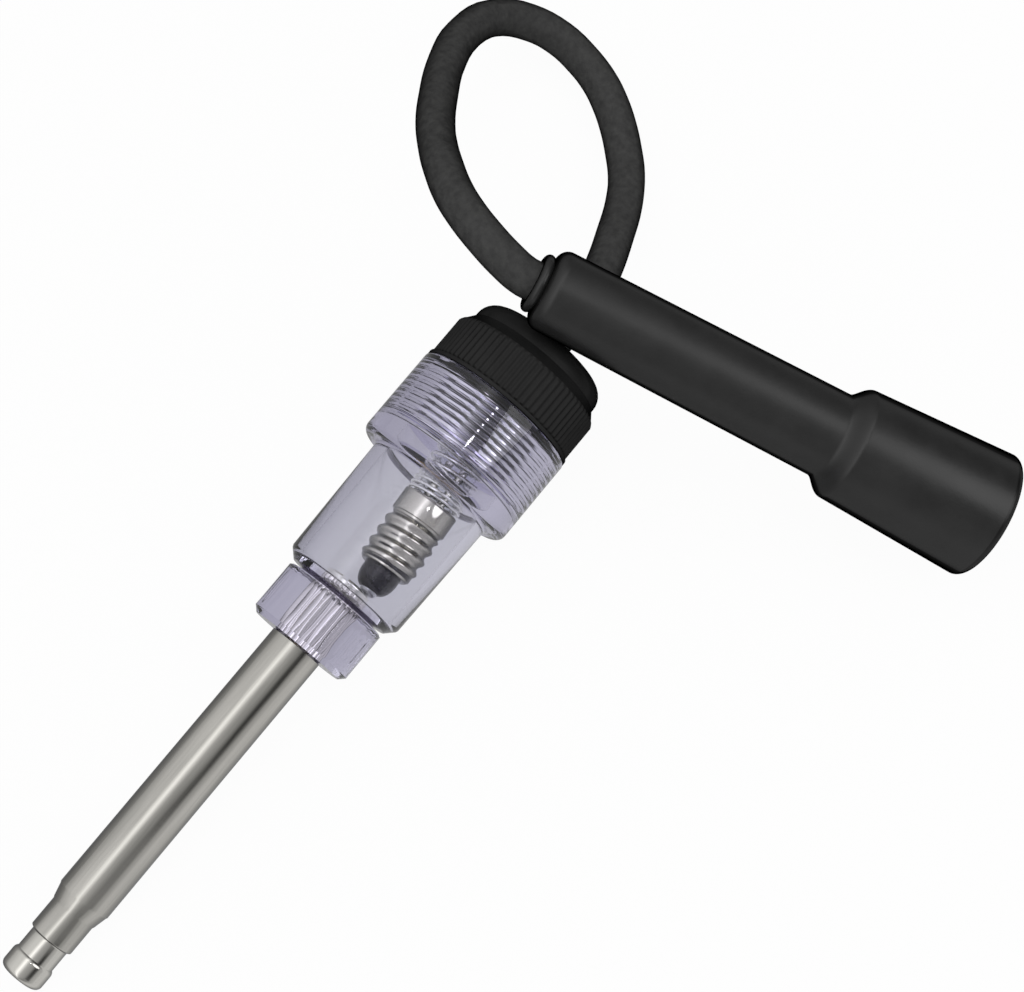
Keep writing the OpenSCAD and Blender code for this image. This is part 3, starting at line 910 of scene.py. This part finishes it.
@dataclass
class ClearChamber:
    """The clear moulding: fluted foot, groove, tapered body and threaded collar."""

    foot_r: float = 8.0
    foot_z: float = FOOT_Z
    chamfer: float = 0.8
    flutes: int = 32
    flute_depth: float = 0.05
    flute_sharp: float = 0.6
    flute_fade: float = 2.0
    flute_step: float = 0.5
    groove_z: float = 65.0
    groove_r: float = 6.4
    edge: float = 0.2
    soft: float = 0.15
    body_z: float = 65.6
    body_r: float = 9.35
    draft: float = math.tan(math.radians(1.1))
    fillet: float = 0.6
    collar_z: float = 85.5
    collar_r: float = 12.35
    collar_round: float = 1.2
    collar_edge: float = 0.4
    top: float = 99.5
    floor_z: float = FLOOR_Z
    floor_round: float = 0.5
    bore_r: float = 8.0
    thread_z: float = 89.5
    thread_r: float = 10.2
    thread_depth: float = 0.5
    thread_flat: float = 0.06
    thread_fade: float = 0.5
    thread_low: float = 0.3
    thread_high: float = 0.6
    lead_in: float = 0.7
    relief: float = 0.1
    turn_rows: int = 14
    pitch: float = PITCH

    def build(self) -> None:
        """Turns the moulding, flutes its foot and cuts its thread."""
        flute_low = self.foot_z + self.chamfer
        flute_high = self.groove_z - self.edge
        slope_top = self.body_z + self.body_r - self.foot_r
        body_top = self.body_r + (self.collar_z - self.body_z - self.fillet) * self.draft
        profile = [
            (0, self.foot_z), (self.foot_r - self.chamfer, self.foot_z),
            *rows(self.foot_r, flute_low, flute_high, self.flute_step),
            *Corner.UPPER.at(self.foot_r - self.edge, self.groove_z, self.soft, 3),
            (self.groove_r + self.edge, self.groove_z),
            *arc(self.groove_r + self.edge, (self.groove_z + self.body_z) / 2, self.edge, 270, 90),
            (self.foot_r, self.body_z), (self.body_r - self.soft, slope_top - self.soft),
            (self.body_r, slope_top + self.edge),
            *Corner.FILLET.at(body_top, self.collar_z, self.fillet, 5),
            *Corner.LOWER.at(self.collar_r, self.collar_z, self.collar_round, 8),
            *Corner.UPPER.at(self.collar_r, self.top, self.collar_edge, 4),
            (self.thread_r + self.thread_depth, self.top), (self.thread_r, self.top - self.lead_in),
            *rows(
                self.thread_r, self.top - self.lead_in - ROW_GAP, self.thread_z + self.relief,
                self.pitch / self.turn_rows,
            ),
            (self.thread_r - self.relief, self.thread_z), (self.bore_r + self.edge, self.thread_z),
            *Corner.MOUTH.at(self.bore_r, self.thread_z, self.edge, 3),
            *Corner.FLOOR.at(self.bore_r, self.floor_z, self.floor_round, 5),
            (0, self.floor_z),
        ]
        flutes = Ribs(
            self.foot_r, self.flute_depth, flute_low, flute_high, self.flute_fade,
            self.flutes, self.flute_sharp,
        )
        thread = Thread(
            self.thread_r, self.thread_depth, self.thread_z + self.thread_low, self.top - self.thread_high,
            self.thread_fade, self.pitch, flat=self.thread_flat,
        )
        sides = SIDES_PER_RIB * self.flutes
        chamber = Bench.turned("clear_chamber", profile, sides, TESTER, flutes, thread)
        install(chamber, CLEAR, Body.CHAMBER, "chamber")


@dataclass
class ScrewCap:
    """The black cap with its threaded spigot, ribs, slope and domed top."""

    spigot_r: float = 10.1
    spigot_z: float = 92.4
    spigot_bore: float = 8.0
    spigot_chamfer: float = 0.5
    seat_top: float = 97.4
    thread_depth: float = 0.4
    thread_fade: float = 0.4
    thread_low: float = 0.4
    thread_high: float = 0.2
    row_end: float = 0.3
    turn_rows: int = 10
    pitch: float = PITCH
    base_z: float = 99.55
    rim_r: float = 12.25
    rim_round: float = 0.12
    rib_z: float = 100.15
    rib_r: float = 12.0
    rib_depth: float = 0.25
    rib_count: int = 72
    rib_end: float = 0.3
    rib_step: float = 1.0
    slope_z: float = 106.35
    dome_r: float = 10.6
    dome_z: float = 107.85
    dome_round: float = 2.5
    ease: float = 0.1
    ease_far: float = 0.15
    top: float = CAP_TOP
    ferrule_r: float = 4.18
    ferrule_top: float = 102.65
    lead_r: float = 2.88
    edge: float = 0.2
    lip: float = 0.3

    def build(self) -> None:
        """Turns the cap, ribs its band and cuts the spigot's thread."""
        root = self.rib_r - self.rib_depth
        profile = [
            (self.lead_r, self.ferrule_top), (self.ferrule_r, self.ferrule_top),
            (self.ferrule_r, self.seat_top), (self.spigot_bore, self.seat_top),
            (self.spigot_bore, self.spigot_z + self.edge), (self.spigot_bore + self.edge, self.spigot_z),
            (self.spigot_r - self.spigot_chamfer, self.spigot_z),
            *rows(
                self.spigot_r, self.spigot_z + self.spigot_chamfer, self.base_z - self.row_end,
                self.pitch / self.turn_rows,
            ),
            (self.spigot_r, self.base_z),
            *Corner.LOWER.at(self.rim_r, self.base_z, self.rim_round, 3),
            *Corner.UPPER.at(self.rim_r, self.rib_z, self.rim_round, 3),
            (root, self.rib_z), (self.rib_r, self.rib_z + self.rib_depth),
            *rows(
                self.rib_r, self.rib_z + self.rib_depth + ROW_GAP, self.slope_z - self.rib_end - ROW_GAP,
                self.rib_step,
            ),
            (self.rib_r, self.slope_z - self.rib_end), (root, self.slope_z + self.ease),
            (root - self.ease, self.slope_z + self.ease_far),
            (self.dome_r + self.ease_far, self.dome_z - self.ease), (self.dome_r, self.dome_z + self.ease),
            *Corner.UPPER.at(self.dome_r, self.top, self.dome_round, 8),
            *Corner.MOUTH.at(self.lead_r, self.top, self.lip, 4),
            (self.lead_r, self.ferrule_top),
        ]
        ribs = Ribs(
            self.rib_r, self.rib_depth, self.rib_z + self.edge, self.slope_z - self.edge, ABRUPT,
            self.rib_count,
        )
        thread = Thread(
            self.spigot_r, self.thread_depth,
            self.spigot_z + self.thread_low, self.base_z - self.thread_high, self.thread_fade,
            self.pitch, rounded=True,
        )
        cap = Bench.turned("ribbed_cap", profile, SIDES_PER_RIB * self.rib_count, TESTER, ribs, thread)
        install(cap, CAP_BLACK, Body.CAP, "cap")


@dataclass
class Lamp:
    """The glow lamp in its screw shell, and the spring on it."""

    solder_r: float = 1.3
    solder_z: float = 68.601
    solder_len: float = 0.7
    solder_sides: int = 64
    neck_r: float = 2.8
    belly: float = 2.4
    plug_len: float = 1.2
    plug_gap: float = 0.05
    gap: float = 0.03
    shell_r: float = 4.2
    shell_z: float = LAMP_EDGE
    shell_top: float = 83.551
    shell_round: float = 0.3
    shell_sides: int = 128
    wall: float = 0.3
    thread_depth: float = 0.5
    thread_pitch: float = 1.8
    thread_fade: float = 0.3
    thread_end: float = 0.35
    row_gap: float = 0.02
    row_end: float = 0.4
    turn_rows: int = 14
    rim_z: float = 80.3
    rim_round: float = 0.25
    rim_step: float = 0.15
    skin: float = 0.2
    glass_r: float = 3.2
    glass_wall: float = 0.6
    glass_z: float = 80.151
    glass_top: float = 94.551
    glass_round: float = 0.2
    sides: int = 96
    spring_r: float = 3.95
    spring_wire: float = 0.25
    spring_gap: float = 0.02
    spring_top: float = 96.55
    spring_curls: int = 12
    spring_close: float = 0.35
    curl_steps: int = 20

    def build_contact(self) -> None:
        """Turns the rounded solder contact."""
        rounded = Corner.LOWER.at(self.solder_r, self.solder_z, self.solder_len)
        profile = [(0, self.solder_z)] + rounded + [(0, self.solder_z + self.solder_len)]
        contact = Bench.turned("solder_contact", profile, self.solder_sides, LAMP)
        install(contact, SOLDER, Body.LAMP, "lamp_contact")

    def build_insulator(self) -> None:
        """Turns the rounded black insulator between contact and shell."""
        base = self.solder_z + self.solder_len
        plug_r = self.shell_r - self.wall - self.gap
        plug_z = self.shell_z + self.wall + self.plug_gap
        plug_top = self.shell_z + self.plug_len
        swell = self.neck_r - self.solder_r
        turns = [math.radians(9 * i) for i in range(11)]
        profile = [
            (0, base),
            *[(self.solder_r + swell * math.sin(t), base + self.belly * (1 - math.cos(t))) for t in turns],
            (self.neck_r, plug_z), (plug_r, plug_z), (plug_r, plug_top), (0, plug_top),
        ]
        bead = Bench.turned("vitrite_bead", profile, self.sides, LAMP)
        install(bead, VITRITE, Body.LAMP, "lamp_insulator")

    def build_shell(self) -> None:
        """Turns the shell and rolls its round thread."""
        root = self.shell_r - self.thread_depth
        inner = self.shell_r - self.wall
        hole = self.neck_r + self.gap
        profile = [
            (hole, self.shell_z), (root - self.shell_round, self.shell_z),
            *Corner.LOWER.at(root, self.shell_z, self.shell_round, 4),
            *rows(
                root, self.shell_z + self.shell_round + self.row_gap, self.rim_z - self.row_end,
                self.thread_pitch / self.turn_rows,
            ),
            (root + self.rim_step, self.rim_z - self.rim_round),
            *Corner.LOWER.at(self.shell_r, self.rim_z, self.rim_round, 3),
            *arc(self.shell_r - self.wall / 2, self.shell_top - self.wall / 2, self.wall / 2, 0, 180),
            (inner, self.rim_z + self.skin), (root - self.skin, self.rim_z - self.wall),
            (root - self.skin, self.shell_z + self.wall),
            (hole, self.shell_z + self.wall), (hole, self.shell_z),
        ]
        thread = Thread(
            root, self.thread_depth, self.shell_z + self.shell_round, self.rim_z - self.thread_end,
            self.thread_fade * self.thread_pitch, self.thread_pitch, rounded=True,
        )
        shell = Bench.turned("screw_shell", profile, self.shell_sides, LAMP, thread)
        install(shell, SHELL_PLATE, Body.LAMP, "lamp_shell")

    def build_glass(self) -> None:
        """Blows the glass, closed round its stem."""
        inner = self.glass_r - self.glass_wall
        centre = self.glass_top - self.glass_r
        profile = [
            (inner, self.glass_z), (self.glass_r - self.glass_round, self.glass_z),
            *Corner.LOWER.at(self.glass_r, self.glass_z, self.glass_round, 3),
            *arc(0, centre, self.glass_r, 0, 90, 16),
            *arc(0, centre, inner, 90, 0, 16),
            (inner, self.glass_z),
        ]
        glass = Bench.turned("blown_glass", profile, self.sides, LAMP)
        install(glass, LAMP_GLASS, Body.LAMP, "lamp_glass")

    def build_spring(self) -> None:
        """Winds the spring with closed ends, from the lamp's shell up towards the cap."""
        low = self.shell_top + self.spring_wire + self.spring_gap
        high = self.spring_top - self.spring_wire
        steps = self.curl_steps * self.spring_curls
        points = []
        for i in range(steps + 1):
            share = i / steps
            turn = math.tau * self.spring_curls * share
            bend = share - math.sin(math.tau * share) / math.tau * self.spring_close
            flat = (self.spring_r * math.cos(turn), self.spring_r * math.sin(turn))
            points.append(Vector((*flat, low + (high - low) * bend)))
        Bench.pick(Bench.tube("lamp_coil", points, self.spring_wire, 2, LAMP))
        bpy.ops.object.convert(target="MESH")
        bpy.ops.object.shade_smooth()
        spring = bpy.context.object
        dress(spring, SPRING_WIRE)
        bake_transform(spring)
        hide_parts("lamp_spring")
        log.info("%s stretches between lamp and cap", spring.name)

    def build(self) -> None:
        """Builds the lamp from its contact up, and dresses what is inside it."""
        self.build_contact()
        self.build_insulator()
        self.build_shell()
        self.build_glass()
        self.build_spring()
        carry(LAMP_GLASS, "lamp_stem")
        carry(CEMENT, "lamp_cement")
        carry(SHELL_PLATE, "electrode_front", "electrode_back")


@dataclass
class LeadAndBoot:
    """The looped lead and the rubber boot on its end.

    The route's points are X from where the lead leaves the cap and Y, in millimetres, and a height as a
    share of the lead's rise there.
    """

    lead_r: float = 2.85
    lead_rings: int = 6
    exit_z: float = CAP_TOP
    ferrule_z: float = 99.0
    lead_end: float = 13.0
    straight: float = 0.9
    length: float = 0.168
    gap: float = 0.03
    edge: float = 0.2
    tail_r: float = 4.25
    bead: float = 0.75
    barrel_round: float = 1.7
    barrel_r: float = 5.8
    barrel_end_r: float = 6.25
    barrel_len: float = 46.2
    step_len: float = 3.1
    socket_r: float = 8.3
    mouth_r: float = 9.35
    mouth_round: float = 1.0
    mouth_bore_r: float = 7.4
    mouth_lip: float = 0.4
    mouth_floor_w: float = 0.6
    mouth_floor_h: float = 1.0
    boot_len: float = 72.0
    boot_sides: int = 128
    boot_sharp: float = 50.0
    tail_bore_len: float = 12.0
    terminal_r: float = 4.45
    terminal_len: float = 19.0
    grip_r: float = 5.1
    grip_len: float = 20.0
    grip_lip: float = 0.3
    route: tuple[Point, ...] = (
        (0, 0, 1), (2.2, 0, 1.02), (4.7, 0.1, 1.02), (7.2, 0.3, 0.97), (10.2, 0.9, 0.87),
        (13.7, 1.8, 0.74), (17.2, 3, 0.61), (23.2, 5.6, 0.4), (29.2, 8.5, 0.21), (33.7, 11.5, 0.1),
        (37.2, 14.8, 0.03), (40.2, 18.2, 0), (42.5, 21.5, 0), (44.5, 25.3, 0), (45.7, 29.6, 0.03),
        (45.7, 34.1, 0.15), (43.7, 38.5, 0.36), (39.1, 41.8, 0.66), (32.1, 41.9, 0.98), (24.8, 39.1, 1.28),
        (18.6, 35.2, 1.56), (13.6, 31.4, 1.81), (9.8, 27.6, 2.02), (6.8, 23.9, 2.22), (4.3, 20.2, 2.36),
        (2.4, 16.3, 2.47), (1.1, 11.9, 2.49), (0.5, 7.6, 2.43), (0.6, 4.8, 2.35), (1, 3.4, 2.31),
    )

    def build_boot(self) -> Piece:
        """Turns the boot with its tail ring, step and bores.

        Returns:
            The boot in its place.
        """
        hole = self.lead_r + self.gap
        barrel_z = 2 * self.bead + self.barrel_round
        grip_z = self.tail_bore_len + self.terminal_len
        mouth_z = grip_z + self.grip_len
        profile = [
            (hole, self.tail_bore_len), (hole, self.edge), (self.lead_r + self.edge, 0),
            *arc(self.tail_r - self.bead, self.bead, self.bead, -90, 60, 8),
            *arc(self.barrel_r - self.barrel_round, barrel_z, self.barrel_round, -75, 0, 10),
            *ease(self.barrel_end_r, self.barrel_len, self.socket_r, self.barrel_len + self.step_len, 16),
            *Corner.UPPER.at(self.mouth_r, self.boot_len, self.mouth_round, 8),
            *Corner.MOUTH.at(self.mouth_bore_r, self.boot_len, self.mouth_lip, 4),
            (self.mouth_bore_r, mouth_z + self.mouth_floor_h),
            (self.mouth_bore_r - self.mouth_floor_w, mouth_z),
            (self.grip_r + self.grip_lip, mouth_z), (self.grip_r, mouth_z - self.grip_lip),
            (self.grip_r, grip_z), (self.terminal_r, grip_z),
            (self.terminal_r, self.tail_bore_len), (hole, self.tail_bore_len),
        ]
        boot = Bench.turned("rubber_boot", profile, self.boot_sides, BOOT, sharp=self.boot_sharp)
        install(boot, RUBBER, Body.CAP, "boot")
        return boot

    def centreline(self) -> list[Vector]:
        """Draws the lead's centreline.

        Returns:
            Its points from the ferrule to its end in the boot, in millimetres.
        """
        leave = TESTER @ Vector((0, 0, self.exit_z * MM)) / MM
        rise = leave.z - self.lead_r
        run = [Vector((leave.x + x, y, self.lead_r + share * rise)) for x, y, share in self.route]
        start = TESTER @ Vector((0, 0, self.ferrule_z * MM)) / MM
        stop = BOOT @ Vector((0, 0, self.lead_end * MM)) / MM
        return [start, start.lerp(leave, self.straight), *run, stop.lerp(run[-1], self.straight), stop]

    def build_lead(self) -> None:
        lead = Bench.tube("looped_lead", self.centreline(), self.lead_r, self.lead_rings, Matrix.Identity(4))
        install(lead, JACKET, Body.CAP, "lead")

    def build(self) -> None:
        """Builds the boot and the lead, and dresses what is inside them."""
        boot = self.build_boot()
        self.build_lead()
        carry(BRASS, "spring_seat", "lead_ferrule", "boot_terminal")
        carry(COPPER, "lead_core_cap_end", "lead_core_boot_end")
        carry(SPRING_WIRE, "terminal_clip")


@dataclass(frozen=True)
class SoftLamp:
    """A round soft lamp over the table."""

    name: str
    at: Point
    aim: Point
    size: float
    power: float

    def hang(self) -> None:
        """Hangs the lamp and turns it to the point that it shines at."""
        data = bpy.data.lights.new(self.name, "AREA")
        data.shape = "DISK"
        data.size = self.size
        data.energy = self.power
        lamp = bpy.data.objects.new(self.name, data)
        bpy.context.collection.objects.link(lamp)
        way = Vector(self.aim) - Vector(self.at)
        lamp.matrix_world = Matrix.Translation(self.at) @ way.to_track_quat("-Z", "Y").to_matrix().to_4x4()


@dataclass
class Studio:
    """White table, surroundings, soft lamps and the camera.

    Levels are strengths of light. The air's main levels go by the angle from overhead, in degrees, towards
    Y. Its ends are lifted to end_level, and past the boot it goes down to boot_level, both by the X of its
    direction. What is seen through the plastic has levels of its own.
    """

    eye: Point = (-0.039016, -0.070719, 0.279385)
    forward: Point = (0.26240, 0.21507, -0.94069)
    right: Point = (0.6339, -0.7734, 0.0)
    lens: float = 72.07
    sensor: float = 36.0
    nearest: float = 0.01
    table_size: float = 4.0
    table_drop: float = 0.00005
    table_matt: Colour = (0.9, 0.9, 0.9, 1.0)
    table_white: float = 0.96
    mirror_way: Span = (-0.6, 0.6)
    mirror_levels: Span = (0.32, 0.72)
    through_table: float = 0.57
    through_share: float = 0.75
    through_air: float = 0.4
    air_strength: float = 2.0
    air_levels: tuple[Span, ...] = (
        (-90, 0.6), (-72, 0.48), (-61, 0.04), (-51, 0.05), (-38, 0.36), (-20, 0.48), (-10, 0.6),
        (-1, 1.1), (7, 1.75), (14, 1.4), (24, 0.84), (45, 0.85), (66, 0.7), (90, 0.5),
    )
    end_way: Span = (0.25, 0.5)
    end_level: float = 0.3
    boot_way: Span = (0.5, 0.9)
    boot_level: float = 0.25
    lamps: tuple[SoftLamp, ...] = (
        SoftLamp("key_lamp", (0.085, -0.156, 0.586), (0.01, 0, 0.01), 0.035, 0.07),
        SoftLamp("boot_lamp", (0.286, -0.429, 0.433), (0.07, -0.045, 0.025), 0.45, 0.8),
    )

    def camera(self) -> None:
        """Sets the camera where the photo was taken from."""
        look = Vector(self.forward).normalized()
        side = Vector(self.right).normalized()
        up = side.cross(look)
        data = bpy.data.cameras.new("table_camera")
        data.sensor_width = self.sensor
        data.lens = self.lens
        data.clip_start = self.nearest
        eye = bpy.data.objects.new("table_camera", data)
        bpy.context.collection.objects.link(eye)
        turn = Matrix((side, up, -look)).transposed().to_4x4()
        eye.matrix_world = Matrix.Translation(self.eye) @ turn
        bpy.context.scene.camera = eye

    def table_shader(self, tree: Tree) -> Socket:
        """Draws the table: white to the eye, greyer in reflections and through the plastic.

        Args:
            tree: The material's tree.

        Returns:
            Its shader.
        """
        path = tree.add("ShaderNodeLightPath").outputs
        way = tree.axes(tree.add("ShaderNodeNewGeometry").outputs["Incoming"])
        level = tree.ranged(way["Y"], self.mirror_way, self.mirror_levels)
        through = tree.calc("MULTIPLY", path["Is Transmission Ray"], self.through_share)
        dimmed = tree.mix(through, level, self.through_table, Mixed.NUMBER)
        matt = tree.add("ShaderNodeBsdfDiffuse", {"Color": self.table_matt}).outputs[0]
        white = tree.add("ShaderNodeEmission", {"Color": WHITE, "Strength": 1.0}).outputs[0]
        grey = tree.add("ShaderNodeEmission", {"Color": WHITE, "Strength": dimmed}).outputs[0]
        seen = tree.shaders(tree.calc("MULTIPLY", path["Is Camera Ray"], self.table_white), matt, white)
        return tree.shaders(path["Is Glossy Ray"], seen, grey)

    def table(self) -> None:
        """Lays the table, a hair below the part."""
        Bench.clear()
        bpy.ops.mesh.primitive_plane_add(size=self.table_size, location=(0, 0, -self.table_drop))
        floor = bpy.context.object
        floor.name = "table"
        floor.data.materials.append(new_material("white_table", self.table_shader))

    def air(self) -> None:
        """Lights the surroundings: a bright strip overhead, a lit and a dark side, white to the eye."""
        world = bpy.data.worlds.new("studio_air")
        bpy.context.scene.world = world
        world.use_nodes = True
        tree = Tree(world.node_tree)
        way = tree.axes(tree.add("ShaderNodeTexCoord").outputs["Generated"])
        lean = tree.ranged(tree.calc("ARCTAN2", way["Y"], way["Z"]), (-math.pi / 2, math.pi / 2))
        ramp = tree.add("ShaderNodeValToRGB", {"Fac": lean})
        stops = ramp.color_ramp.elements
        stops.remove(stops[1])
        for i, (angle, light) in enumerate(self.air_levels):
            place = angle / 180 + 0.5
            stop = stops.new(place) if i else stops[0]
            stop.position = place
            stop.color = (*[light / self.air_strength] * 3, 1.0)
        level = tree.calc("MULTIPLY", ramp.outputs["Color"], self.air_strength)
        ends = tree.ranged(tree.calc("ABSOLUTE", way["X"]), self.end_way, (0.0, self.end_level))
        past_boot = tree.ranged(way["X"], self.boot_way, (1.0, self.boot_level))
        total = tree.calc("MULTIPLY", tree.calc("MAXIMUM", level, ends), past_boot)
        path = tree.add("ShaderNodeLightPath").outputs
        through = tree.calc("MULTIPLY", path["Is Transmission Ray"], self.through_air)
        lifted = tree.calc("MAXIMUM", through, total)
        seen = tree.mix(path["Is Camera Ray"], lifted, 1.0, Mixed.NUMBER)
        sky = tree.add("ShaderNodeBackground", {"Color": WHITE, "Strength": seen}).outputs[0]
        tree.add("ShaderNodeOutputWorld", {"Surface": sky})

    def build(self) -> None:
        """Sets the camera, the table, the surroundings and the lamps."""
        self.camera()
        self.table()
        self.air()
        for lamp in self.lamps:
            lamp.hang()
        bpy.context.scene.view_settings.view_transform = "Standard"


def main() -> None:
    """Builds the studio and then the tester's sub-assemblies."""
    Studio().build()
    LeadAndBoot().build()
    TerminalRod().build()
    ClearChamber().build()
    ScrewCap().build()
    Lamp().build()


if __name__ == "__main__":
    main()
